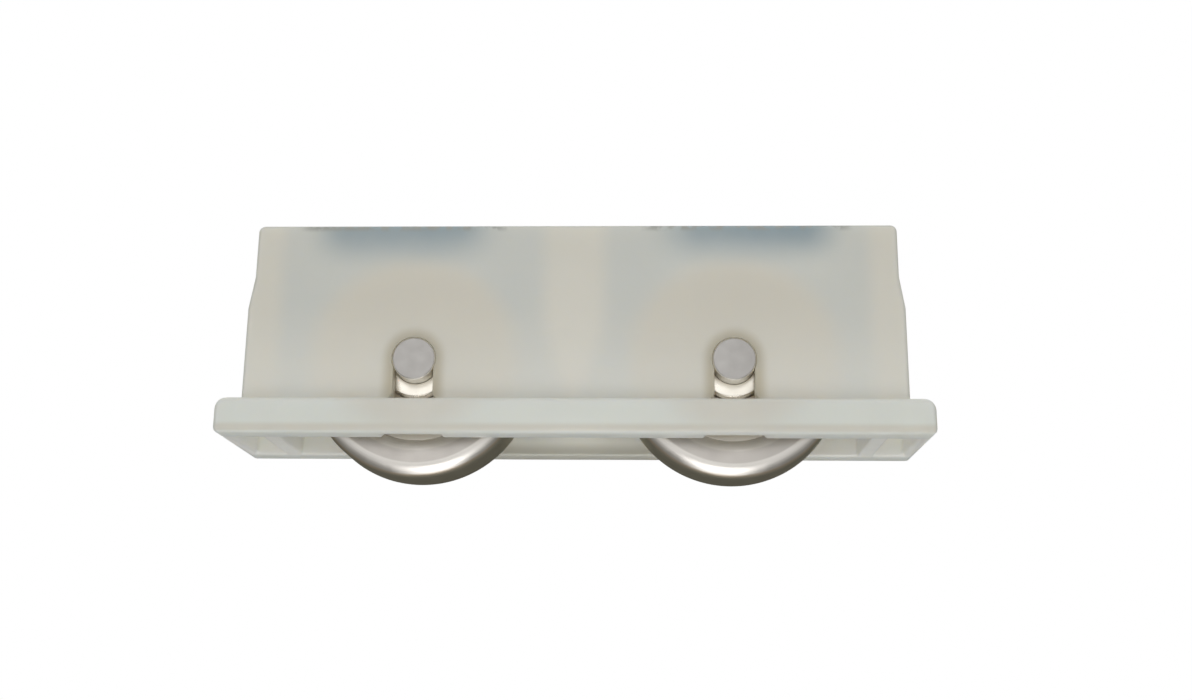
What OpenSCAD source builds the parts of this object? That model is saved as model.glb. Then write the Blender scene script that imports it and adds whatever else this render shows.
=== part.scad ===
// Sliding door roller: a snap-in nylon housing that carries two ball-bearing wheels.
// Millimetres. X runs along the door, -Y is the front, +Z is up.
// The wheels stand on z = 0, and the roller is centred on X = 0, Y = 0.

/* [Wheels] */
// Diameter of each wheel across its tread
wheel_d = 20; // [16:0.5:26]
// Width of each wheel across its faces
wheel_w = 6; // [5:0.2:8]
// Rounding between the tread and the faces
wheel_edge_r = 1.3; // [0.3:0.1:1.6]
// How far the wheels stand below the flange
wheel_drop = 3.2; // [1.5:0.1:5]

/* [Bearings] */
// Diameter of the balls
ball_d = 3; // [2.4:0.1:3.6]
// Number of balls in each wheel
ball_count = 8; // [6:1:8]
// Steel between the bore and the ball track of the inner race
race_wall = 2.1; // [1.4:0.1:2.8]
// Width of the inner race's track, between the shields
race_track_w = 4.4; // [4.2:0.1:4.6]
// Steel around the pin at the long ends of the inner race
race_boss_wall = 1.15; // [0.6:0.05:1.2]
// Sheet thickness of the two cage halves
cage_sheet = 0.36; // [0.2:0.02:0.44]
// Sheet thickness of the shields
shield_t = 0.35; // [0.2:0.05:0.45]
// Depth of the seat in the wheel's face that takes a shield
shield_seat_h = 0.6; // [0.5:0.05:0.7]
// Ledge between the ball track and the rim of the shield's seat
shield_seat_w = 0.4; // [0.3:0.1:1.1]

/* [Axles] */
// Diameter of the axle pins
pin_d = 3.8; // [3:0.1:4.8]
// Chamfer on the ends of the pins
pin_chamfer = 0.12; // [0.05:0.01:0.4]
// Half the play between a pin and its seat in the housing
seat_gap = 0.1; // [0.05:0.05:0.3]
// How far each snap nose reaches under the pin
snap_grip = 0.15; // [0.05:0.05:0.3]
// Height of the narrow neck between the two snap noses
snap_tip_h = 2.4; // [0.3:0.1:2.6]
// Width of the slot that the pin rises through
slot_w = 4.7; // [4.2:0.1:5.6]
// Lead-in at the foot of the slot
slot_lead = 0.4; // [0.2:0.1:0.8]

/* [Housing] */
// Thickness of the front and back walls
side_wall = 1.4; // [1:0.1:2.2]
// Thickness of the web between the two pockets
web_t = 4.4; // [2.5:0.1:8]
// Thickness of the end walls at their foot
end_wall = 3.2; // [2:0.1:6]
// Thickness of the roof over the wheels
roof_t = 1.6; // [1:0.1:3]
// Gap between a wheel and its pocket, along the door
pocket_gap = 1.8; // [1:0.1:4]
// Gap between a wheel and the roof
roof_gap = 0.7; // [0.5:0.1:2]
// Play between the inner race and the side walls, each side
side_gap = 0.2; // [0.1:0.05:0.5]
// How far the side walls stand off the wheel's faces
wheel_side_gap = 1.2; // [0.8:0.1:2]
// How far each end steps in towards the top
end_step = 0.45; // [0.1:0.05:1]
// Height of the narrower top part
top_part_h = 4.8; // [3:0.1:6]
// Height of the slope between the two parts
slope_h = 2.9; // [1:0.1:4]
// Rounding of the body's top corners
body_top_r = 0.6; // [0.2:0.1:1.2]
// Rounding of the body's upright corners
body_side_r = 0.4; // [0.2:0.1:0.8]

/* [Flange] */
// Height of the flange
flange_h = 3.1; // [2:0.1:4]
// How far the flange stands out at the front and back
flange_lip = 1.1; // [0.6:0.1:3]
// How far the flange stands out at each end
flange_ledge = 2; // [1.5:0.1:6]
// Rounding of the flange's top corners
flange_r = 1; // [0.3:0.1:1.2]

/* [Underside] */
// Thickness of the flange over the recesses in its underside
recess_skin = 1.1; // [0.6:0.1:1.5]
// Wall at each end of the flange, past its recess
recess_end_wall = 1; // [0.6:0.1:1.4]
// Rib between each wheel's pocket and the recess past it
recess_rib_t = 1.4; // [1:0.1:1.8]

/* [Roof windows] */
// Roof left between a window and the web
window_web_side = 5.2; // [2:0.1:8]
// Roof left between a window and the end wall
window_end_side = 1.6; // [1:0.1:8]

/* [Hidden] */
$fn = 96;

nylon = [0.83, 0.82, 0.77];
steel = [0.72, 0.72, 0.73];
bright_steel = [0.86, 0.86, 0.88];
cage_steel = [0.60, 0.61, 0.63];

cut = 1; // how far a cutting shape runs past the face that it opens

// Running gaps and fits in the bearings
track_gap = 0.05;
cage_ball_gap = 0.04;
cage_race_gap = 0.12;
shield_gap = 0.08;
press_gap = 0.01;

// Bearing, measured from the wheel's axis
wheel_r = wheel_d / 2;
pin_r = pin_d / 2;
ball_r = ball_d / 2;
track_r = ball_r + track_gap;
pitch_r = pin_r + race_wall + ball_r;
shoulder = 0.6 * ball_r; // how far the shoulders stand off the pitch circle
inner_shoulder_r = pitch_r - shoulder;
outer_shoulder_r = pitch_r + shoulder;
boss_r = pin_r + race_boss_wall;
seat_r = outer_shoulder_r + shield_seat_w;
race_len = wheel_w + 2 * (wheel_side_gap - side_gap);

// Housing
axle_z = wheel_r;
flange_z = wheel_drop;
flange_top_z = flange_z + flange_h;
pocket_w = wheel_w + 2 * wheel_side_gap;
pocket_half_l = wheel_r + pocket_gap;
pocket_top_z = wheel_d + roof_gap;
body_top_z = pocket_top_z + roof_t;
body_w = pocket_w + 2 * side_wall;
axle_x = web_t / 2 + pocket_half_l;
body_half_l = axle_x + pocket_half_l + end_wall;
flange_half_l = body_half_l + flange_ledge;
flange_w = body_w + 2 * flange_lip;
recess_h = flange_h - recess_skin;

// Snap seat, measured from the pin's axis
pin_seat_r = pin_r + seat_gap;
throat_half_w = pin_r - snap_grip;
nose_top_z = -sqrt(pow(pin_seat_r, 2) - pow(throat_half_w, 2));
nose_tip_z = nose_top_z - snap_tip_h;
nose_foot_z = nose_tip_z - 1.5 * (slot_w / 2 - throat_half_w);
slot_foot_z = flange_z - axle_z;

// Turns a shape drawn round the Z axis so that its axis runs along Y, with its +Z side to the front
module along_axle() {
    rotate([90, 0, 0]) children();
}

module at_axle(side) {
    translate([side * axle_x, 0, axle_z]) children();
}

// ---- Housing ----

// Outline seen from the front: upright ends with a small step in towards the top
module body_outline() {
    top_half_l = body_half_l - end_step;
    corner_z = body_top_z - body_top_r;
    polygon([
        [-body_half_l, flange_z],
        [body_half_l, flange_z],
        [body_half_l, body_top_z - top_part_h - slope_h],
        [top_half_l, body_top_z - top_part_h],
        [top_half_l, corner_z],
        [-top_half_l, corner_z],
        [-top_half_l, body_top_z - top_part_h],
        [-body_half_l, body_top_z - top_part_h - slope_h]
    ]);
    corner_x = top_half_l - body_top_r;
    translate([-corner_x, corner_z - cut]) square([2 * corner_x, body_top_r + cut]);
    for (side = [-1, 1]) translate([side * corner_x, corner_z]) circle(body_top_r);
}

// Outline seen from above: a rectangle with small round corners
module rounded_rectangle(length, width, r) {
    square([length - 2 * r, width], center = true);
    square([length, width - 2 * r], center = true);
    for (x = [-1, 1], y = [-1, 1])
        translate([x * (length / 2 - r), y * (width / 2 - r)]) circle(r);
}

module body_block() {
    intersection() {
        rotate([90, 0, 0])
            linear_extrude(body_w, center = true) body_outline();
        translate([0, 0, flange_z])
            linear_extrude(body_top_z - flange_z + cut)
                rounded_rectangle(2 * body_half_l, body_w, body_side_r);
    }
}

module flange_outline() {
    square_half_l = flange_half_l - flange_r;
    translate([-flange_half_l, flange_z]) square([2 * flange_half_l, flange_h - flange_r]);
    translate([-square_half_l, flange_z]) square([2 * square_half_l, flange_h]);
    for (side = [-1, 1]) translate([side * square_half_l, flange_top_z - flange_r]) circle(flange_r);
}

module flange_block() {
    rotate([90, 0, 0])
        linear_extrude(flange_w, center = true) flange_outline();
}

// Seat for a pin with two snap noses under it, and the slot that leads up to it
module slot_outline() {
    half_w = slot_w / 2;
    circle(pin_seat_r);
    polygon([
        [-half_w, slot_foot_z - cut],
        [-half_w, nose_foot_z],
        [-throat_half_w, nose_tip_z],
        [-throat_half_w, 0],
        [throat_half_w, 0],
        [throat_half_w, nose_tip_z],
        [half_w, nose_foot_z],
        [half_w, slot_foot_z - cut]
    ]);
    polygon([
        [-half_w - slot_lead - cut, slot_foot_z - cut],
        [-half_w, slot_foot_z + slot_lead],
        [half_w, slot_foot_z + slot_lead],
        [half_w + slot_lead + cut, slot_foot_z - cut]
    ]);
}

module axle_slots(depth) {
    for (side = [-1, 1]) at_axle(side) along_axle()
        linear_extrude(depth, center = true) slot_outline();
}

module wheel_pockets() {
    for (side = [-1, 1])
        translate([side * axle_x - pocket_half_l, -pocket_w / 2, flange_z - cut])
            cube([2 * pocket_half_l, pocket_w, pocket_top_z - flange_z + cut]);
}

// Hollows in the underside that keep the wall thickness even: under the web and in both ends
module underside_recesses() {
    end_in = axle_x + pocket_half_l + recess_rib_t;
    end_out = flange_half_l - recess_end_wall;
    translate([0, 0, flange_z + (recess_h - cut) / 2]) {
        cube([web_t + 2 * cut, pocket_w, recess_h + cut], center = true);
        for (side = [-1, 1]) translate([side * (end_in + end_out) / 2, 0, 0])
            cube([end_out - end_in, pocket_w, recess_h + cut], center = true);
    }
}

module roof_windows() {
    window_in = axle_x - pocket_half_l + window_web_side;
    window_l = 2 * pocket_half_l - window_web_side - window_end_side;
    for (side = [-1, 1])
        translate([side * (window_in + window_l / 2), 0, body_top_z - roof_t / 2])
            cube([window_l, pocket_w, roof_t + 2 * cut], center = true);
}

module housing() {
    color(nylon) difference() {
        union() {
            difference() {
                flange_block();
                axle_slots(body_w);
            }
            difference() {
                body_block();
                axle_slots(body_w + 2 * cut);
            }
        }
        wheel_pockets();
        underside_recesses();
        roof_windows();
    }
}

// ---- Axles and bearings ----

// Pin with chamfered ends, flush with the housing's front and back
module axle() {
    half_l = body_w / 2;
    color(bright_steel) rotate_extrude() polygon([
        [0, -half_l],
        [pin_r - pin_chamfer, -half_l],
        [pin_r, pin_chamfer - half_l],
        [pin_r, half_l - pin_chamfer],
        [pin_r - pin_chamfer, half_l],
        [0, half_l]
    ]);
}

// Where the balls run, as a cut in a half-section
module track_section() {
    translate([pitch_r, 0]) circle(track_r);
}

// Inner race with a long boss on each side that spaces the wheel off the walls
module inner_race() {
    bore_r = pin_r + press_gap;
    color(steel) rotate_extrude() difference() {
        union() {
            translate([bore_r, -race_len / 2]) square([boss_r - bore_r, race_len]);
            translate([bore_r, -race_track_w / 2]) square([inner_shoulder_r - bore_r, race_track_w]);
        }
        track_section();
    }
}

module at_each_ball() {
    for (i = [0 : ball_count - 1]) rotate(i * 360 / ball_count) translate([pitch_r, 0, 0]) children();
}

module balls() {
    color(bright_steel) at_each_ball() sphere(ball_r);
}

// Half of a pressed sheet cage: flat between the balls and domed over each of them
module cage_half() {
    inner_r = inner_shoulder_r + cage_race_gap;
    outer_r = outer_shoulder_r - cage_race_gap;
    dome_r = ball_r + cage_ball_gap + cage_sheet;
    color(cage_steel) difference() {
        intersection() {
            union() {
                cylinder(h = cage_sheet, r = outer_r + cut);
                at_each_ball() sphere(dome_r);
            }
            rotate_extrude() translate([inner_r, 0]) square([outer_r - inner_r, dome_r + cut]);
        }
        at_each_ball() sphere(ball_r + cage_ball_gap);
    }
}

module wheel() {
    half_w = wheel_w / 2;
    core_r = wheel_r - wheel_edge_r;
    core_half_w = half_w - wheel_edge_r;
    color(steel) rotate_extrude() difference() {
        union() {
            translate([outer_shoulder_r, -half_w]) square([core_r - outer_shoulder_r, wheel_w]);
            translate([outer_shoulder_r, -core_half_w]) square([wheel_r - outer_shoulder_r, 2 * core_half_w]);
            for (side = [-1, 1]) translate([core_r, side * core_half_w]) circle(wheel_edge_r);
        }
        track_section();
        for (side = [-1, 1])
            translate([outer_shoulder_r - cut, side * (half_w + cut - (shield_seat_h + cut) / 2)])
                translate([0, -(shield_seat_h + cut) / 2])
                    square([seat_r - outer_shoulder_r + cut, shield_seat_h + cut]);
    }
}

// Flat ring pressed into its seat in the wheel's face, clear of the inner race
module shield() {
    hole_r = boss_r + shield_gap;
    color(bright_steel) rotate_extrude()
        translate([hole_r, wheel_w / 2 - shield_seat_h]) square([seat_r - press_gap - hole_r, shield_t]);
}

module facing_back() {
    mirror([0, 1, 0]) children();
}

module left_axle() { at_axle(-1) along_axle() axle(); }
module left_inner_race() { at_axle(-1) along_axle() inner_race(); }
module left_balls() { at_axle(-1) along_axle() balls(); }
module left_cage_front() { at_axle(-1) along_axle() cage_half(); }
module left_cage_back() { at_axle(-1) facing_back() along_axle() cage_half(); }
module left_wheel() { at_axle(-1) along_axle() wheel(); }
module left_shield_front() { at_axle(-1) along_axle() shield(); }
module left_shield_back() { at_axle(-1) facing_back() along_axle() shield(); }

module right_axle() { at_axle(1) along_axle() axle(); }
module right_inner_race() { at_axle(1) along_axle() inner_race(); }
module right_balls() { at_axle(1) along_axle() balls(); }
module right_cage_front() { at_axle(1) along_axle() cage_half(); }
module right_cage_back() { at_axle(1) facing_back() along_axle() cage_half(); }
module right_wheel() { at_axle(1) along_axle() wheel(); }
module right_shield_front() { at_axle(1) along_axle() shield(); }
module right_shield_back() { at_axle(1) facing_back() along_axle() shield(); }

housing();
left_axle();
left_inner_race();
left_balls();
left_cage_front();
left_cage_back();
left_wheel();
left_shield_front();
left_shield_back();
right_axle();
right_inner_race();
right_balls();
right_cage_front();
right_cage_back();
right_wheel();
right_shield_front();
right_shield_back();
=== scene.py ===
import math

import bmesh
import bpy
from mathutils import Matrix, Vector


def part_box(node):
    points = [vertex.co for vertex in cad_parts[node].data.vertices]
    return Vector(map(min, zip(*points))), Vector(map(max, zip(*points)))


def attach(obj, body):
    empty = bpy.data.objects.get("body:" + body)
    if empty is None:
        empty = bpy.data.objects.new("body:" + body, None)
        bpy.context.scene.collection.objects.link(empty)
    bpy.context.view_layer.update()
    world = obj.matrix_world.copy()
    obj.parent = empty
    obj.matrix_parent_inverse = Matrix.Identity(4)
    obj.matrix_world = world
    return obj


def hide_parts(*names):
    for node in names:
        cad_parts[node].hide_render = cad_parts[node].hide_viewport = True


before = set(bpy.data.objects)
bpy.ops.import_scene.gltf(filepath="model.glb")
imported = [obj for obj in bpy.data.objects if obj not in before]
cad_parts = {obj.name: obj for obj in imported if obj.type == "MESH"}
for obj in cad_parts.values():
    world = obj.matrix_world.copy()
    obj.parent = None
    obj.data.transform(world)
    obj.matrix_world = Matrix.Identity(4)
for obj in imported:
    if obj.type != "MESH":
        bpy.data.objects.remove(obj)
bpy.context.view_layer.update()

# Shapes are drawn in millimetres and turned into metres when they become pieces.
mm = 0.001
sides = ("left", "right")


def boxInMm(node):
    low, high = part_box(node)
    return Vector(low) / mm, Vector(high) / mm


cameraSetup = {
    "target": (1.76, 0.0, 12.24),  # mm, the point it is aimed at
    "azimuth": 2.107,  # degrees round from the front
    "elevation": -14.825,  # degrees, looking up from below
    "roll": 0.597,
    "distance": 125.8,  # mm
    "lens": 41.56,
    "sensor": 36.0,
    "clip": (0.005, 10.0),  # metres
}


def makeCamera(setup):
    azimuth, elevation = math.radians(setup["azimuth"]), math.radians(setup["elevation"])
    back = Vector((
        math.sin(azimuth) * math.cos(elevation),
        -math.cos(azimuth) * math.cos(elevation),
        math.sin(elevation),
    ))
    data = bpy.data.cameras.new("camera")
    data.lens = setup["lens"]
    data.sensor_width = setup["sensor"]
    data.clip_start, data.clip_end = setup["clip"]
    camera = bpy.data.objects.new("camera", data)
    aim = (-back).to_track_quat("-Z", "Y").to_matrix().to_4x4()
    place = Matrix.Translation((Vector(setup["target"]) + back * setup["distance"]) * mm)
    camera.matrix_world = place @ aim @ Matrix.Rotation(math.radians(setup["roll"]), 4, "Z")
    bpy.context.scene.collection.objects.link(camera)
    bpy.context.scene.camera = camera


makeCamera(cameraSetup)
print("camera placed")


# corners are (x, y, radius)
def filletOutline(corners, steps=6):
    points = []
    for i, (x, y, radius) in enumerate(corners):
        here = Vector((x, y))
        if radius == 0:
            points.append(here)
            continue
        back = (Vector(corners[i - 1][:2]) - here).normalized()
        ahead = (Vector(corners[(i + 1) % len(corners)][:2]) - here).normalized()
        half = back.angle(ahead) / 2
        centre = here + (back + ahead).normalized() * radius / math.sin(half)
        first = here + back * radius / math.tan(half) - centre
        last = here + ahead * radius / math.tan(half) - centre
        start = math.atan2(first.y, first.x)
        turn = (math.atan2(last.y, last.x) - start + math.pi) % (2 * math.pi) - math.pi
        for k in range(steps + 1):
            angle = start + turn * k / steps
            points.append(centre + radius * Vector((math.cos(angle), math.sin(angle))))
    return points


def extrudeAlongY(outline, low, high):
    bm = bmesh.new()
    front = [bm.verts.new((p.x, low, p.y)) for p in outline]
    back = [bm.verts.new((p.x, high, p.y)) for p in outline]
    bm.faces.new(front)
    bm.faces.new(reversed(back))
    for i in range(len(outline)):
        j = (i + 1) % len(outline)
        bm.faces.new((front[i], back[i], back[j], front[j]))
    bmesh.ops.recalc_face_normals(bm, faces=bm.faces)
    return bm


def makeBlock(low, high):
    outline = [Vector((low[0], low[2])), Vector((high[0], low[2])),
               Vector((high[0], high[2])), Vector((low[0], high[2]))]
    return extrudeAlongY(outline, low[1], high[1])


def latheAroundY(profile, segments=144, onAxis=1e-6):
    bm = bmesh.new()
    rings = []
    for p in profile:
        if p.x < onAxis:
            rings.append([bm.verts.new((0, p.y, 0))] * segments)
            continue
        angles = [2 * math.pi * k / segments for k in range(segments)]
        rings.append([bm.verts.new((p.x * math.cos(a), p.y, p.x * math.sin(a))) for a in angles])
    for i in range(len(rings)):
        near, far = rings[i], rings[(i + 1) % len(rings)]
        for k in range(segments):
            corners = (near[k], near[(k + 1) % segments], far[(k + 1) % segments], far[k])
            distinct = list(dict.fromkeys(corners))
            if len(distinct) > 2:
                bm.faces.new(distinct)
    bmesh.ops.recalc_face_normals(bm, faces=bm.faces)
    return bm


def tempObject(bm, name="tool"):
    mesh = bpy.data.meshes.new(name)
    bm.to_mesh(mesh)
    bm.free()
    obj = bpy.data.objects.new(name, mesh)
    bpy.context.scene.collection.objects.link(obj)
    return obj


def combine(base, operation, tools):
    for tool in tools:
        modifier = base.modifiers.new(operation, "BOOLEAN")
        modifier.operation = operation
        modifier.solver = "EXACT"
        modifier.object = tool
    bakeModifiers(base)
    for tool in tools:
        bpy.data.objects.remove(tool)


def bakeModifiers(obj):
    graph = bpy.context.evaluated_depsgraph_get()
    mesh = bpy.data.meshes.new_from_object(obj.evaluated_get(graph))
    obj.modifiers.clear()
    obj.data = mesh


# millimetres to metres, with the piece's own origin at centre
def finishPiece(obj, name, material, smoothAngle=32, centre=(0, 0, 0)):
    obj.name = name
    obj.data.name = name
    obj.data.transform(Matrix.Scale(mm, 4))
    obj.location = Vector(centre) * mm
    obj.data.shade_smooth()
    obj.data.set_sharp_from_angle(angle=math.radians(smoothAngle))
    obj.data.materials.clear()
    obj.data.materials.append(material)
    return obj


# short ways to add nodes to one material
class Nodes:

    def __init__(self, name):
        self.material = bpy.data.materials.new(name)
        self.material.use_nodes = True
        self.tree = self.material.node_tree
        self.shader = self.tree.nodes["Principled BSDF"]

    def add(self, kind, **inputs):
        node = self.tree.nodes.new(kind)
        for key, value in inputs.items():
            node.inputs[key.replace("_", " ")].default_value = value
        return node

    def link(self, source, target):
        self.tree.links.new(source, target)

    def noise(self, coordinates, scale, detail=3.0, roughness=0.5):
        node = self.add("ShaderNodeTexNoise", Scale=scale, Detail=detail, Roughness=roughness)
        self.link(coordinates, node.inputs["Vector"])
        return node.outputs["Fac"]

    # noise rarely leaves noiseRange, so that is what fills low to high
    def spread(self, source, low, high, noiseRange=(0.3, 0.7)):
        node = self.tree.nodes.new("ShaderNodeMapRange")
        node.inputs["From Min"].default_value = noiseRange[0]
        node.inputs["From Max"].default_value = noiseRange[1]
        node.inputs["To Min"].default_value = low
        node.inputs["To Max"].default_value = high
        self.link(source, node.inputs["Value"])
        return node.outputs["Result"]

    def blend(self, source, first, second):
        node = self.tree.nodes.new("ShaderNodeMix")
        node.data_type = "RGBA"
        node.inputs["A"].default_value = (*first, 1)
        node.inputs["B"].default_value = (*second, 1)
        self.link(source, node.inputs["Factor"])
        return node.outputs["Result"]

    def bump(self, height, strength, distance):
        node = self.add("ShaderNodeBump", Strength=strength, Distance=distance)
        self.link(height, node.inputs["Height"])
        self.link(node.outputs["Normal"], self.shader.inputs["Normal"])

    def objectPlace(self):
        return self.tree.nodes.new("ShaderNodeTexCoord").outputs["Object"]

    def math(self, operation, first, second=None):
        node = self.tree.nodes.new("ShaderNodeMath")
        node.operation = operation
        for i, value in enumerate((first, second)):
            if isinstance(value, (int, float)):
                node.inputs[i].default_value = value
            elif value is not None:
                self.link(value, node.inputs[i])
        return node.outputs["Value"]

    # 0 below low, 1 above high, and an easy slope between
    def ramp(self, source, low, high):
        node = self.tree.nodes.new("ShaderNodeMapRange")
        node.interpolation_type = "SMOOTHSTEP"
        node.inputs["From Min"].default_value = low
        node.inputs["From Max"].default_value = high
        self.link(source, node.inputs["Value"])
        return node.outputs["Result"]

    # the same between two heights or distances in mm, which may run either way
    def fade(self, source, span):
        low, high = span
        return self.ramp(source, low * mm, high * mm)

    def product(self, *amounts):
        result = amounts[0]
        for amount in amounts[1:]:
            result = self.math("MULTIPLY", result, amount)
        return result

    def tint(self, amount, colour, over):
        node = self.tree.nodes.new("ShaderNodeMix")
        node.data_type = "RGBA"
        self.link(amount, node.inputs["Factor"])
        self.link(over, node.inputs["A"])
        node.inputs["B"].default_value = (*colour, 1)
        return node.outputs["Result"]

    # how far a place is from a line along Y at (x, z)
    def fromAxis(self, place, x=0.0, z=0.0):
        shift = self.tree.nodes.new("ShaderNodeVectorMath")
        shift.operation = "SUBTRACT"
        shift.inputs[1].default_value = (x, 0, z)
        self.link(place, shift.inputs[0])
        flat = self.tree.nodes.new("ShaderNodeVectorMath")
        flat.operation = "MULTIPLY"
        flat.inputs[1].default_value = (1, 0, 1)
        self.link(shift.outputs["Vector"], flat.inputs[0])
        length = self.tree.nodes.new("ShaderNodeVectorMath")
        length.operation = "LENGTH"
        self.link(flat.outputs["Vector"], length.inputs[0])
        return length.outputs["Value"]

    def split(self, place):
        node = self.tree.nodes.new("ShaderNodeSeparateXYZ")
        self.link(place, node.inputs["Vector"])
        return node.outputs["X"], node.outputs["Y"], node.outputs["Z"]


nylonFinish = {
    "pale": (0.80, 0.78, 0.705),
    "deep": (0.77, 0.755, 0.68),
    "low": (0.93, 0.92, 0.86),  # light from below gathers above the flange and in the underside
    # painted light: the flange lighter and bluer than the body
    "flange": (0.80, 0.825, 0.785),
    "shieldShade": (0.75, 0.735, 0.675),  # painted shade on the flange, where a shield stands behind it
    "hemShade": (0.715, 0.70, 0.635),  # painted shade along the flange's lower edge
    "farWallShade": (0.56, 0.55, 0.485),  # painted shade on the underside's far wall, which faces away from the room
    "hollowShade": (0.70, 0.715, 0.68),  # painted shade where the wall has only air behind it
    "wheelShade": (0.765, 0.735, 0.65),  # painted shade where a wheel stands behind the wall
    "seat": (0.61, 0.56, 0.44),  # painted tan shade round the pins, where the race shows through
    "window": (0.31, 0.40, 0.45),  # painted shade over the roof's windows, where light leaves through the roof
    "cornerShade": (0.58, 0.585, 0.53),  # painted shade along the outer corners and top edges
    "brinkShade": (0.40, 0.41, 0.39),  # painted dark specks along the windows' thin top edge, where the dark gap behind shows through
    "roughness": (0.32, 0.46),
    "transmission": 0.28,
    "ior": 1.50,
    "scatter": 0.7,
    "scatterDepth": 1.8 * mm,
    "scatterColour": (1.0, 0.92, 0.78),
    "skin": {"strength": 0.05, "depth": 0.05 * mm},  # the fine bump of the mould's finish
    "strength": {"low": 0.45, "cornerShade": 0.7, "hollowShade": (0.75, 1.0), "window": (0.7, 1.0)},
    # how fine each mottle is, in cells to the metre
    "grain": {"tone": 90, "hollowShade": 120, "window": 160, "gloss": 700, "speck": 900, "skin": 2500},
    # where each tone begins and where it is full, in mm: up from the track, out from the
    # middle, or out from a wheel's axle or rim
    "spans": {
        "webSide": (1.6, 3.8),
        "farEnd": (27.0, 25.0),
        "webTaperTop": 13.0,  # the web's pale stripe narrows below this height
        "webTaperRate": 0.35,
        "pastWheel": (0.4, -2.4),
        "roundPin": (3.1, 1.9),
        "roundShield": (8.4, 4.8),
        "lowZone": (16.0, 6.5),
        "flangeZone": (6.7, 5.8),
        "hemTop": (4.2, 3.7),
        "hemFoot": (3.25, 3.45),
        "hemAcross": (5.9, 6.3),
        "insideAcross": (4.6, 4.2),
        "insideTop": (6.6, 5.4),
        "farWallNear": (2.6, 4.1),
        "farWallBack": (6.66, 6.4),
        "farWallTop": (4.6, 3.4),
        "farWallEnds": (27.0, 9.0),
        "stepIn": (14.6, 17.5),
        "bodyFace": (5.2, 5.5),
        "bodyFoot": (6.2, 6.6),
        "flangeFace": (6.2, 6.5),
        "windowHeight": (17.8, 22.6),
        "windowNear": (5.9, 11.4),
        "windowFar": (24.7, 20.2),
        "brinkHeight": (21.6, 22.1),
        "brinkAcross": (5.3, 5.5),
        "brinkNear": (5.4, 7.4),
        "brinkFar": (25.2, 23.2),
    },
    "cornerWidth": {"body": 0.38, "flange": 0.4, "top": 0.3, "full": 0.05},  # mm in from the end or top
    "speckRange": (0.42, 0.58),  # of the noise
}


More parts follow.
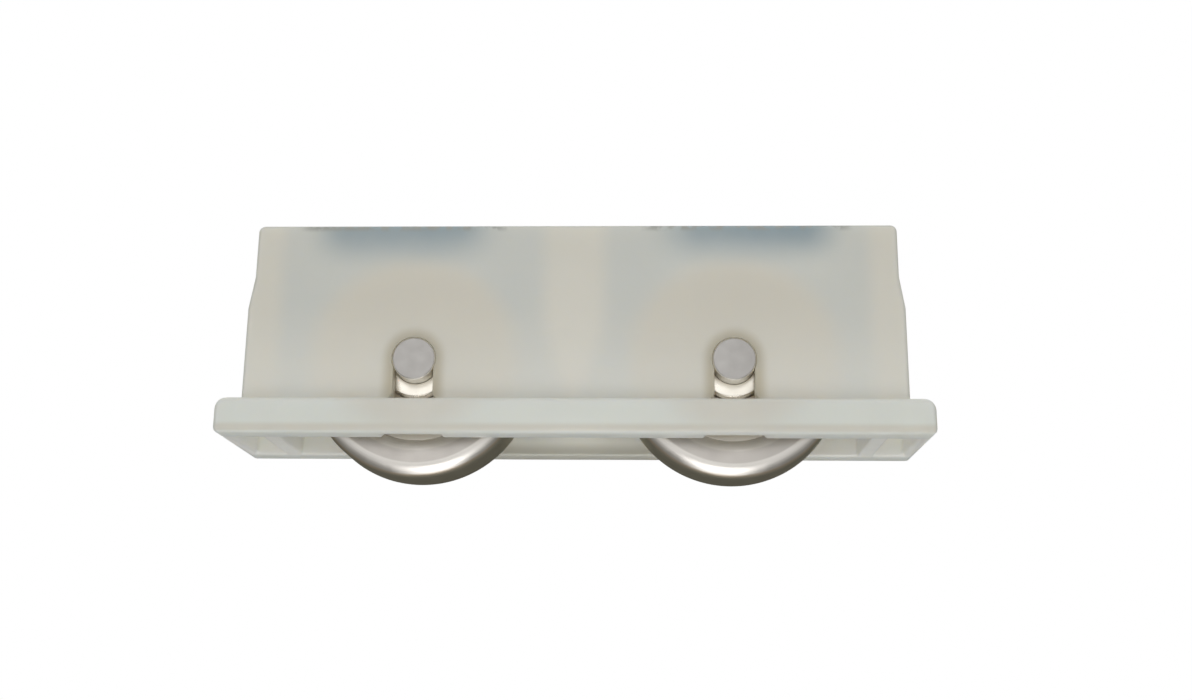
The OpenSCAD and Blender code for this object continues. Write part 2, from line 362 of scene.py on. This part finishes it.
def makeNylon(finish):
    grain, spans, strength = finish["grain"], finish["spans"], finish["strength"]
    n = Nodes("milky_nylon")
    place = n.objectPlace()
    x, y, z = n.split(place)
    along, across = n.math("ABSOLUTE", x), n.math("ABSOLUTE", y)
    tone = n.spread(n.noise(place, grain["tone"]), 0, 1)
    colour = n.blend(tone, finish["pale"], finish["deep"])

    # painted shade over the pockets, on each side of the web
    drop = n.math("MAXIMUM", n.math("SUBTRACT", spans["webTaperTop"] * mm, z), 0.0)
    offWeb = n.math("ADD", along, n.math("MULTIPLY", drop, spans["webTaperRate"]))
    hollowShade = n.product(
        n.fade(offWeb, spans["webSide"]),
        n.fade(along, spans["farEnd"]),
        n.spread(n.noise(place, grain["hollowShade"]), *strength["hollowShade"]),
    )
    colour = n.tint(hollowShade, finish["hollowShade"], colour)

    # painted shade where the wheels stand behind the walls, painted light low on the body, and painted
    # tan shade round the pins where the races show through
    wheelLow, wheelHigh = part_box("right_wheel")
    wheelX, wheelZ = (wheelLow[0] + wheelHigh[0]) / 2, (wheelLow[2] + wheelHigh[2]) / 2
    mirrored = n.tree.nodes.new("ShaderNodeCombineXYZ")
    n.link(along, mirrored.inputs["X"])
    n.link(z, mirrored.inputs["Z"])
    fromWheel = n.fromAxis(mirrored.outputs["Vector"], wheelX, wheelZ)
    pastWheel = n.math("SUBTRACT", fromWheel, wheelZ - wheelLow[2])
    colour = n.tint(n.fade(pastWheel, spans["pastWheel"]), finish["wheelShade"], colour)
    colour = n.tint(n.product(n.fade(z, spans["lowZone"]), strength["low"]), finish["low"], colour)
    slotLine = n.tree.nodes.new("ShaderNodeCombineXYZ")
    n.link(along, slotLine.inputs["X"])
    n.link(n.math("MAXIMUM", z, wheelZ), slotLine.inputs["Z"])
    fromSlot = n.fromAxis(slotLine.outputs["Vector"], wheelX, wheelZ)
    colour = n.tint(n.fade(fromSlot, spans["roundPin"]), finish["seat"], colour)

    # the flange painted lighter, with painted shade where the shields stand behind it and along its
    # lower edge, painted light in the hollows under it and painted shade on their far wall
    onFlange = n.fade(z, spans["flangeZone"])
    colour = n.tint(onFlange, finish["flange"], colour)
    behind = n.product(onFlange, n.fade(fromWheel, spans["roundShield"]))
    colour = n.tint(behind, finish["shieldShade"], colour)
    hemShade = n.product(
        n.fade(z, spans["hemTop"]),
        n.fade(z, spans["hemFoot"]),
        n.fade(across, spans["hemAcross"]),
    )
    colour = n.tint(hemShade, finish["hemShade"], colour)
    inside = n.product(n.fade(across, spans["insideAcross"]), n.fade(z, spans["insideTop"]))
    colour = n.tint(inside, finish["low"], colour)
    farWallShade = n.product(
        n.fade(y, spans["farWallNear"]),
        n.fade(y, spans["farWallBack"]),
        n.fade(z, spans["farWallTop"]),
        n.fade(along, spans["farWallEnds"]),
    )
    colour = n.tint(farWallShade, finish["farWallShade"], colour)

    # painted shade along the upright corners and the top edges
    housingLength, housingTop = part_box("housing")[1][0] / mm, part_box("housing")[1][2] / mm
    bodyLength = housingLength - housingShape["ledge"]
    width = finish["cornerWidth"]
    stepIn = n.product(n.fade(z, spans["stepIn"]), housingShape["endStep"] * mm)
    toEnd = n.math("ADD", along, stepIn)
    bodyCorner = n.product(
        n.fade(toEnd, (bodyLength - width["body"], bodyLength - width["full"])),
        n.fade(across, spans["bodyFace"]),
        n.fade(z, spans["bodyFoot"]),
    )
    flangeCorner = n.product(
        n.fade(along, (housingLength - width["flange"], housingLength - width["full"])),
        n.fade(across, spans["flangeFace"]),
    )
    topEdge = n.product(
        n.fade(z, (housingTop - width["top"], housingTop - width["full"])),
        n.fade(across, spans["bodyFace"]),
    )
    cornerShade = n.math("MAXIMUM", topEdge, n.math("MAXIMUM", bodyCorner, flangeCorner))
    colour = n.tint(n.product(cornerShade, strength["cornerShade"]), finish["cornerShade"], colour)

    # painted shade over the roof's windows, and painted dark specks along their thin top edge
    window = n.product(
        n.fade(along, spans["windowNear"]),
        n.fade(along, spans["windowFar"]),
        n.fade(z, spans["windowHeight"]),
        n.spread(n.noise(place, grain["window"]), *strength["window"]),
    )
    colour = n.tint(window, finish["window"], colour)
    brinkShade = n.product(
        n.fade(z, spans["brinkHeight"]),
        n.ramp(n.noise(place, grain["speck"]), *finish["speckRange"]),
        n.fade(across, spans["brinkAcross"]),
        n.fade(along, spans["brinkNear"]),
        n.fade(along, spans["brinkFar"]),
    )
    colour = n.tint(brinkShade, finish["brinkShade"], colour)

    n.link(colour, n.shader.inputs["Base Color"])
    gloss = n.spread(n.noise(place, grain["gloss"]), *finish["roughness"])
    n.link(gloss, n.shader.inputs["Roughness"])
    skin = n.noise(place, grain["skin"], detail=2.0)
    n.bump(skin, finish["skin"]["strength"], finish["skin"]["depth"])
    n.shader.inputs["Transmission Weight"].default_value = finish["transmission"]
    n.shader.inputs["IOR"].default_value = finish["ior"]
    n.shader.inputs["Subsurface Weight"].default_value = finish["scatter"]
    n.shader.inputs["Subsurface Scale"].default_value = finish["scatterDepth"]
    n.shader.inputs["Subsurface Radius"].default_value = finish["scatterColour"]
    return n.material


# the wheel's colours from its hub outward, as (mm from the axle, colour), with the rounded rim painted
# lighter as a painted highlight
wheelBands = [
    (7.7, (0.52, 0.49, 0.46)),  # the face, out to the rounded rim
    # painted highlight: the rounded rim lighter than the face
    (8.75, (0.75, 0.72, 0.68)),
    (9.74, (0.70, 0.60, 0.47)),  # a thin warm ring at the tread's edge
    (9.87, (0.52, 0.50, 0.42)),
]
pinBands = [(1.84, (0.97, 0.95, 0.90))]  # the pin painted bright from its end's rim outward, a painted highlight
# in cells or rings to the metre, and the rings' depth in mm
steelGrain = {"tone": 420, "gloss": 900, "rings": 1400.0, "ringWaver": 0.6, "ringDepth": 0.02}
steelFinishes = {
    "wheel_steel": {
        "colour": (0.64, 0.61, 0.57),
        "worn": (0.60, 0.57, 0.53),
        "roughness": (0.30, 0.40),
        "rings": 0.08,
        "bands": wheelBands,
        "bandFade": 0.1,
        "edge": (0.58, 0.56, 0.50),  # its colour at a grazing angle
    },
    "race_steel": {
        "colour": (0.87, 0.83, 0.75),
        "worn": (0.82, 0.78, 0.70),
        "roughness": (0.24, 0.34),
        "rings": 0.06,
    },
    "shield_steel": {
        "colour": (0.86, 0.82, 0.76),
        "worn": (0.80, 0.76, 0.70),
        "roughness": (0.28, 0.38),
        "rings": 0.03,
    },
    "pin_steel": {
        "colour": (0.45, 0.435, 0.42),
        "worn": (0.42, 0.405, 0.39),
        "roughness": (0.42, 0.55),
        "rings": 0.08,
        "bands": pinBands,
        "bandFade": 0.05,
    },
    "ball_steel": {
        "colour": (0.80, 0.80, 0.81),
        "worn": (0.76, 0.76, 0.77),
        "roughness": (0.06, 0.12),
        "rings": 0.0,
    },
    "cage_steel": {
        "colour": (0.52, 0.51, 0.50),
        "worn": (0.44, 0.43, 0.42),
        "roughness": (0.30, 0.45),
        "rings": 0.0,
    },
}


def makeSteel(name, finish):
    n = Nodes(name)
    place = n.objectPlace()
    n.shader.inputs["Metallic"].default_value = 1.0
    n.shader.inputs["Specular Tint"].default_value = (*finish.get("edge", (1, 1, 1)), 1)
    tone = n.spread(n.noise(place, steelGrain["tone"], detail=4.0), 0, 1)
    colour = n.blend(tone, finish["colour"], finish["worn"])
    for radius, band in finish.get("bands", []):
        span = (radius - finish["bandFade"], radius + finish["bandFade"])
        colour = n.tint(n.fade(n.fromAxis(place), span), band, colour)
    n.link(colour, n.shader.inputs["Base Color"])
    gloss = n.spread(n.noise(place, steelGrain["gloss"], detail=4.0), *finish["roughness"])
    n.link(gloss, n.shader.inputs["Roughness"])
    if finish["rings"]:
        rings = n.add("ShaderNodeTexWave", Scale=steelGrain["rings"],
                      Distortion=steelGrain["ringWaver"], Detail=2.0)
        rings.wave_type = "RINGS"
        rings.rings_direction = "Y"
        n.link(place, rings.inputs["Vector"])
        n.bump(rings.outputs["Fac"], finish["rings"], steelGrain["ringDepth"] * mm)
    return n.material


steels = {name: makeSteel(name, finish) for name, finish in steelFinishes.items()}
print("steels made")


housingShape = {
    "lip": 1.1,  # flange past the body, front and back
    "ledge": 2.0,  # flange past the body, at the ends
    "flangeHeight": 3.1,
    "flangeEndRound": 1.0,
    "endStep": 0.45,  # the top part is this much shorter at each end
    "topPart": 4.8,
    "slope": 2.9,  # height of the slope below the top part
    "slopeRound": 1.5,
    "topRound": 0.6,
    "sunk": 1.0,  # the body starts this far inside the flange
    "frontWall": 1.4,
    "roof": 1.6,
    "pocketHalfLength": 11.8,
    "recessSkin": 1.1,  # flange left over the hollows in the underside
    "recessEndWall": 1.0,
    "recessRib": 1.4,  # between a wheel's pocket and the hollow past it
    "windowFromWeb": 5.2,
    "windowFromEnd": 1.6,
    "seatGap": 0.02,  # the nylon closes on the pin
    "grip": 0.15,  # how far each nose reaches in under the pin
    "noseTip": 2.4,
    "noseSlope": 1.5,  # mm down for each mm that the slot widens
    "slotWidth": 4.7,
    "slotLead": 0.4,
    "cutPast": 1,  # how far a cut runs past the surface
    "edges": {"flange": 0.45, "body": 0.28, "pocket": 0.24, "slot": 0.14},
    "sharpFrom": 25,  # degrees, an edge that is rounded
    "slotEdges": (0.6, 2.4),  # mm past the slot's side and above the axle that still belong to it
    "insideShare": 0.8,  # an inside corner's rounding, against an outside one's
    "roundSteps": 3,
    "weldGap": 1e-4,
    "flatWithin": 0.5,  # degrees
}
nylon = makeNylon(nylonFinish)
print("nylon made")


# the pin's seat, the two snap noses and the slot below them, round the pin's axis
def slotOutline(shape, pinRadius, axleHeight, foot, steps=48):
    seat = pinRadius + shape["seatGap"]
    throat = pinRadius - shape["grip"]
    half = shape["slotWidth"] / 2
    seatEnd = -math.sqrt(seat ** 2 - throat ** 2)
    noseTip = seatEnd - shape["noseTip"]
    noseFoot = noseTip - shape["noseSlope"] * (half - throat)
    bottom = foot - axleHeight - shape["cutPast"]
    start = math.atan2(seatEnd, throat)
    turn = math.pi - 2 * start
    angles = [start + turn * k / steps for k in range(steps + 1)]
    arc = [Vector((seat * math.cos(angle), seat * math.sin(angle))) for angle in angles]
    lead, past = shape["slotLead"], shape["cutPast"]
    left = [
        (-throat, noseTip),
        (-half, noseFoot),
        (-half, bottom + past + lead),
        (-half - lead - past, bottom),
    ]
    right = [(-x, z) for x, z in reversed(left)]
    return arc + [Vector(p) for p in left + right]


def shifted(points, x, z):
    return [p + Vector((x, z)) for p in points]


# how much each sharp edge is rounded
def markEdges(bm, shape, low, high, bodyHalfWidth, slots, touch=0.01):
    widest = max(shape["edges"].values())
    layer = bm.edges.layers.float.new("bevel_weight_edge")
    flangeTop = low.z + shape["flangeHeight"]
    bodyEnd = high.x - shape["ledge"]
    pastSide, aboveAxle = shape["slotEdges"]
    slotReach = shape["slotWidth"] / 2 + pastSide
    for edge in bm.edges:
        if len(edge.link_faces) != 2 or edge.calc_face_angle(0) < math.radians(shape["sharpFrom"]):
            continue
        middle = (edge.verts[0].co + edge.verts[1].co) / 2
        alongSlot = any(abs(middle.x - x) < slotReach and middle.z < z + aboveAxle for x, z in slots)
        outside = abs(middle.y) > bodyHalfWidth - touch
        onLip = abs(middle.y) > bodyHalfWidth + touch
        onFlangeTop = outside and abs(middle.z - flangeTop) < touch
        onEnd = abs(middle.x) > bodyEnd - shape["endStep"] - 10 * touch
        if alongSlot and not onLip and not onFlangeTop:
            kind = "slot"
        elif onLip or abs(middle.x) > bodyEnd + touch:
            kind = "flange"
        elif outside or onEnd:
            kind = "body"
        else:
            kind = "pocket"
        share = 1 if edge.is_convex else shape["insideShare"]
        edge[layer] = shape["edges"][kind] / widest * share


def makeHousing(shape):
    low, high = boxInMm("housing")
    bodyHalfWidth = high.y - shape["lip"]
    bodyHalfLength = high.x - shape["ledge"]
    topHalfLength = bodyHalfLength - shape["endStep"]
    slopeTop = high.z - shape["topPart"]
    slopeRound, past = shape["slopeRound"], shape["cutPast"]
    flange = tempObject(extrudeAlongY(filletOutline([
        (low.x, low.z, 0),
        (high.x, low.z, 0),
        (high.x, low.z + shape["flangeHeight"], shape["flangeEndRound"]),
        (low.x, low.z + shape["flangeHeight"], shape["flangeEndRound"]),
    ]), low.y, high.y))
    body = tempObject(extrudeAlongY(filletOutline([
        (-bodyHalfLength, low.z + shape["sunk"], 0),
        (bodyHalfLength, low.z + shape["sunk"], 0),
        (bodyHalfLength, slopeTop - shape["slope"], slopeRound),
        (topHalfLength, slopeTop, slopeRound),
        (topHalfLength, high.z, shape["topRound"]),
        (-topHalfLength, high.z, shape["topRound"]),
        (-topHalfLength, slopeTop, slopeRound),
        (-bodyHalfLength, slopeTop - shape["slope"], slopeRound),
    ]), -bodyHalfWidth, bodyHalfWidth))
    slots, flangeTools, bodyTools, pocketTools = [], [], [], []
    pocketHalfWidth = bodyHalfWidth - shape["frontWall"]
    recessTop = low.z + shape["flangeHeight"] - shape["recessSkin"]
    for side in sides:
        pinLow, pinHigh = boxInMm(side + "_axle")
        pin = (pinLow + pinHigh) / 2
        outward = math.copysign(1, pin.x)
        slots.append((pin.x, pin.z))
        outline = slotOutline(shape, (pinHigh.x - pinLow.x) / 2, pin.z, low.z)
        outline = shifted(outline, pin.x, pin.z)
        through = bodyHalfWidth + past
        flangeTools.append(tempObject(extrudeAlongY(outline, -bodyHalfWidth, bodyHalfWidth)))
        bodyTools.append(tempObject(extrudeAlongY(outline, -through, through)))
        reach = shape["pocketHalfLength"]
        pocketTools.append(tempObject(makeBlock(
            (pin.x - reach, -pocketHalfWidth, low.z - past),
            (pin.x + reach, pocketHalfWidth, high.z - shape["roof"]))))
        windowIn = pin.x - outward * (reach - shape["windowFromWeb"])
        windowOut = pin.x + outward * (reach - shape["windowFromEnd"])
        pocketTools.append(tempObject(makeBlock(
            (min(windowIn, windowOut), -pocketHalfWidth, high.z - shape["roof"] - past),
            (max(windowIn, windowOut), pocketHalfWidth, high.z + past))))
        recessIn = pin.x + outward * (reach + shape["recessRib"])
        recessOut = outward * (high.x - shape["recessEndWall"])
        pocketTools.append(tempObject(makeBlock(
            (min(recessIn, recessOut), -pocketHalfWidth, low.z - past),
            (max(recessIn, recessOut), pocketHalfWidth, recessTop))))
    webReach = slots[1][0] - shape["pocketHalfLength"] + past
    pocketTools.append(tempObject(makeBlock(
        (-webReach, -pocketHalfWidth, low.z - past),
        (webReach, pocketHalfWidth, recessTop))))
    combine(flange, "DIFFERENCE", flangeTools)
    combine(body, "DIFFERENCE", bodyTools)
    combine(body, "UNION", [flange])
    combine(body, "DIFFERENCE", pocketTools)
    bm = bmesh.new()
    bm.from_mesh(body.data)
    bmesh.ops.remove_doubles(bm, verts=bm.verts, dist=shape["weldGap"])
    flat = math.radians(shape["flatWithin"])
    bmesh.ops.dissolve_limit(bm, angle_limit=flat, verts=bm.verts, edges=bm.edges)
    markEdges(bm, shape, low, high, bodyHalfWidth, slots)
    bm.to_mesh(body.data)
    bm.free()
    bevel = body.modifiers.new("softEdges", "BEVEL")
    bevel.limit_method = "WEIGHT"
    bevel.width = max(shape["edges"].values())
    bevel.segments = shape["roundSteps"]
    bevel.use_clamp_overlap = False
    bakeModifiers(body)
    housing = finishPiece(body, "moulded_housing", nylon)
    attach(housing, "housing")
    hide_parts("housing")


makeHousing(housingShape)
print("housing moulded")


wheelShape = {
    "rimRound": 1.3,
    "seatRadius": 6.8,
    "seatDepth": 0.6,
    "shoulder": 0.9,  # from the balls' pitch circle
    "trackPlay": 0.05,
    "innerRound": 0.06,
    "seatRound": 0.05,
    "faceRound": 0.08,
}
raceShape = {
    "trackHalfWidth": 2.2,
    "bossRadius": 3.05,
    "endRound": 0.1,
    "trackRound": 0.06,
    "borePlay": 0.01,
}
shieldShape = {
    "thickness": 0.28,
    "gap": 0.08,
    "foldWidth": 0.7,
    "foldRun": 0.2,
    "raised": 0.14,
    "rimPlay": 0.01,
    "seatPlay": 0.005,
    "lipRound": 0.05,
    "foldRound": 0.1,
}
pinShape = {"chamfer": 0.12, "edgeRound": 0.04, "steps": 96}


# the ball track's cross-section, from its front edge to its back edge
def trackArc(pitch, radius, shoulder, outward, steps=12):
    edge = math.asin(math.sqrt(radius ** 2 - shoulder ** 2) / radius)
    return [Vector((pitch + outward * radius * math.cos(edge - 2 * edge * k / steps),
                    radius * math.sin(edge - 2 * edge * k / steps))) for k in range(steps + 1)]


def makeWheelSet(side):
    low, high = boxInMm(side + "_wheel")
    centre = (low + high) / 2
    radius, half = (high.x - low.x) / 2, (high.y - low.y) / 2
    ballLow, ballHigh = boxInMm(side + "_balls")
    ballRadius = (ballHigh.y - ballLow.y) / 2
    pitch = (ballHigh.x - ballLow.x) / 2 - ballRadius
    trackRadius = ballRadius + wheelShape["trackPlay"]
    seat, seatY = wheelShape["seatRadius"], half - wheelShape["seatDepth"]
    inner, rimRound = pitch + wheelShape["shoulder"], wheelShape["rimRound"]
    innerRound, seatRound, faceRound = (wheelShape[k] for k in ("innerRound", "seatRound", "faceRound"))
    profile = filletOutline([
        (inner, -seatY, innerRound), (seat, -seatY, seatRound), (seat, -half, faceRound),
        (radius, -half, rimRound), (radius, half, rimRound),
        (seat, half, faceRound), (seat, seatY, seatRound), (inner, seatY, innerRound),
    ])
    profile += trackArc(pitch, trackRadius, wheelShape["shoulder"], 1)
    wheel = finishPiece(tempObject(latheAroundY(profile)), side + "_turned_wheel",
                        steels["wheel_steel"], centre=centre)
    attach(wheel, side + "_wheel")
    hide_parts(side + "_wheel")

    raceLow, raceHigh = boxInMm(side + "_inner_race")
    pinLow, pinHigh = boxInMm(side + "_axle")
    raceHalf, pinRadius = (raceHigh.y - raceLow.y) / 2, (pinHigh.x - pinLow.x) / 2
    bore, boss = pinRadius + raceShape["borePlay"], raceShape["bossRadius"]
    track, trackRound, endRound = (raceShape[k] for k in ("trackHalfWidth", "trackRound", "endRound"))
    shoulder = pitch - wheelShape["shoulder"]
    raceProfile = filletOutline([
        (shoulder, -track, trackRound), (boss, -track, 0), (boss, -raceHalf, endRound),
        (bore, -raceHalf, endRound), (bore, raceHalf, endRound), (boss, raceHalf, endRound),
        (boss, track, 0), (shoulder, track, trackRound),
    ])
    raceProfile += trackArc(pitch, trackRadius, wheelShape["shoulder"], -1)
    race = finishPiece(tempObject(latheAroundY(raceProfile)), side + "_ground_race",
                       steels["race_steel"], centre=centre)
    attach(race, "housing")
    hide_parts(side + "_inner_race")

    hole, outer = boss + shieldShape["gap"], seat - shieldShape["rimPlay"]
    innerFold, outerFold = hole + shieldShape["foldWidth"], outer - shieldShape["foldWidth"]
    innerRise, outerRise = innerFold + shieldShape["foldRun"], outerFold - shieldShape["foldRun"]
    near = seatY + shieldShape["seatPlay"]
    far, raised = near + shieldShape["thickness"], shieldShape["raised"]
    lip, fold = shieldShape["lipRound"], shieldShape["foldRound"]
    pressed = filletOutline([
        (hole, near, lip), (innerFold, near, fold), (innerRise, near + raised, fold),
        (outerRise, near + raised, fold), (outerFold, near, fold), (outer, near, lip),
        (outer, far, fold), (outerFold, far, fold), (outerRise, far + raised, fold),
        (innerRise, far + raised, fold), (innerFold, far, fold), (hole, far, lip),
    ], steps=4)
    for facing, face in ((-1, "front"), (1, "back")):
        outline = [Vector((p.x, facing * p.y)) for p in pressed]
        shield = finishPiece(tempObject(latheAroundY(outline)), side + "_pressed_shield_" + face,
                             steels["shield_steel"], centre=centre)
        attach(shield, side + "_wheel")
        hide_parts(side + "_shield_" + face)

    pinHalf, chamfer, edge = (pinHigh.y - pinLow.y) / 2, pinShape["chamfer"], pinShape["edgeRound"]
    endRadius, sideEnd = pinRadius - chamfer, pinHalf - chamfer
    pinProfile = filletOutline([
        (0, -pinHalf, 0), (endRadius, -pinHalf, edge), (pinRadius, -sideEnd, edge),
        (pinRadius, sideEnd, edge), (endRadius, pinHalf, edge), (0, pinHalf, 0),
    ], steps=3)
    pin = finishPiece(tempObject(latheAroundY(pinProfile, pinShape["steps"])), side + "_cropped_pin",
                      steels["pin_steel"], centre=centre)
    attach(pin, "housing")
    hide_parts(side + "_axle")


carriedFinishes = {"_balls": "ball_steel", "_cage_front": "cage_steel", "_cage_back": "cage_steel"}
for side in sides:
    makeWheelSet(side)
    for node, finish in carriedFinishes.items():
        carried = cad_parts[side + node]
        carried.data.materials.clear()
        carried.data.materials.append(steels[finish])
print("wheels, races, shields and pins turned")


studio = {
    "floorDepth": 160.0,  # mm under the track
    "floorHalf": 3000.0,
    "floorCells": 24,
    "background": (1.0, 1.0, 1.0),
    "bright": (0.85, 0.85, 0.84),  # the room ahead and above
    "dim": (0.20, 0.195, 0.18),  # the room behind and below
    "brightFrom": (0, -0.75, 0.66),
    "fade": (-0.42, 0.72),  # cosines from brightFrom, dim below the first and bright past the second
    "paper": (0.80, 0.80, 0.80),
    "paperShade": (0.785, 0.785, 0.785),
    "paperRoughness": 0.9,
    "paperGrain": 14,
    "lampsAimAt": (0, 0, 10),
}
lamps = {
    "key": {"at": (-30, -290, 100), "size": 200, "power": 0.06},
    "under": {"at": (0, -105, -120), "size": 110, "power": 0.07},
    "back": {"at": (40, 240, 220), "size": 220, "power": 0.15},
    # a glint on the rims, and no light on the nylon
    "sheen": {"at": (0, -30, -150), "size": 110, "power": 0.045, "glossOnly": True},
}


def makeFloor():
    half, cells = studio["floorHalf"] * mm, studio["floorCells"]
    bm = bmesh.new()
    bmesh.ops.create_grid(bm, x_segments=cells, y_segments=cells, size=half)
    floor = tempObject(bm, "studio_floor")
    floor.location.z = -studio["floorDepth"] * mm
    n = Nodes("studio_paper")
    mottle = n.spread(n.noise(n.objectPlace(), studio["paperGrain"]), 0, 1)
    n.link(n.blend(mottle, studio["paper"], studio["paperShade"]), n.shader.inputs["Base Color"])
    n.shader.inputs["Roughness"].default_value = studio["paperRoughness"]
    floor.data.materials.append(n.material)
    floor.visible_glossy = False  # the treads mirror the dim room behind, not the paper


def makeLamps():
    target = Vector(studio["lampsAimAt"]) * mm
    for name, lamp in lamps.items():
        data = bpy.data.lights.new(name, "AREA")
        data.shape = "DISK"
        data.size = lamp["size"] * mm
        data.energy = lamp["power"]
        obj = bpy.data.objects.new(name, data)
        obj.location = Vector(lamp["at"]) * mm
        obj.rotation_euler = (target - obj.location).to_track_quat("-Z", "Y").to_euler()
        obj.visible_camera = False
        obj.visible_diffuse = not lamp.get("glossOnly", False)
        obj.visible_transmission = obj.visible_diffuse
        bpy.context.scene.collection.objects.link(obj)


def makeWorld():
    world = bpy.data.worlds.new("studio")
    bpy.context.scene.world = world
    world.use_nodes = True
    tree = world.node_tree
    room = tree.nodes["Background"]
    place = tree.nodes.new("ShaderNodeTexCoord")
    facing = tree.nodes.new("ShaderNodeVectorMath")
    facing.operation = "DOT_PRODUCT"
    facing.inputs[1].default_value = studio["brightFrom"]
    fade = tree.nodes.new("ShaderNodeMapRange")
    fade.interpolation_type = "SMOOTHSTEP"
    fade.inputs["From Min"].default_value, fade.inputs["From Max"].default_value = studio["fade"]
    shade = tree.nodes.new("ShaderNodeMix")
    shade.data_type = "RGBA"
    shade.inputs["A"].default_value = (*studio["dim"], 1)
    shade.inputs["B"].default_value = (*studio["bright"], 1)
    paper = tree.nodes.new("ShaderNodeBackground")
    paper.inputs["Color"].default_value = (*studio["background"], 1)
    seen = tree.nodes.new("ShaderNodeLightPath")
    mix = tree.nodes.new("ShaderNodeMixShader")
    tree.links.new(place.outputs["Generated"], facing.inputs[0])
    tree.links.new(facing.outputs["Value"], fade.inputs["Value"])
    tree.links.new(fade.outputs["Result"], shade.inputs["Factor"])
    tree.links.new(shade.outputs["Result"], room.inputs["Color"])
    tree.links.new(seen.outputs["Is Camera Ray"], mix.inputs["Fac"])
    tree.links.new(room.outputs["Background"], mix.inputs[1])
    tree.links.new(paper.outputs["Background"], mix.inputs[2])
    tree.links.new(mix.outputs["Shader"], tree.nodes["World Output"].inputs["Surface"])


makeFloor()
makeLamps()
makeWorld()
bpy.context.scene.view_settings.view_transform = "Standard"
print("studio set")
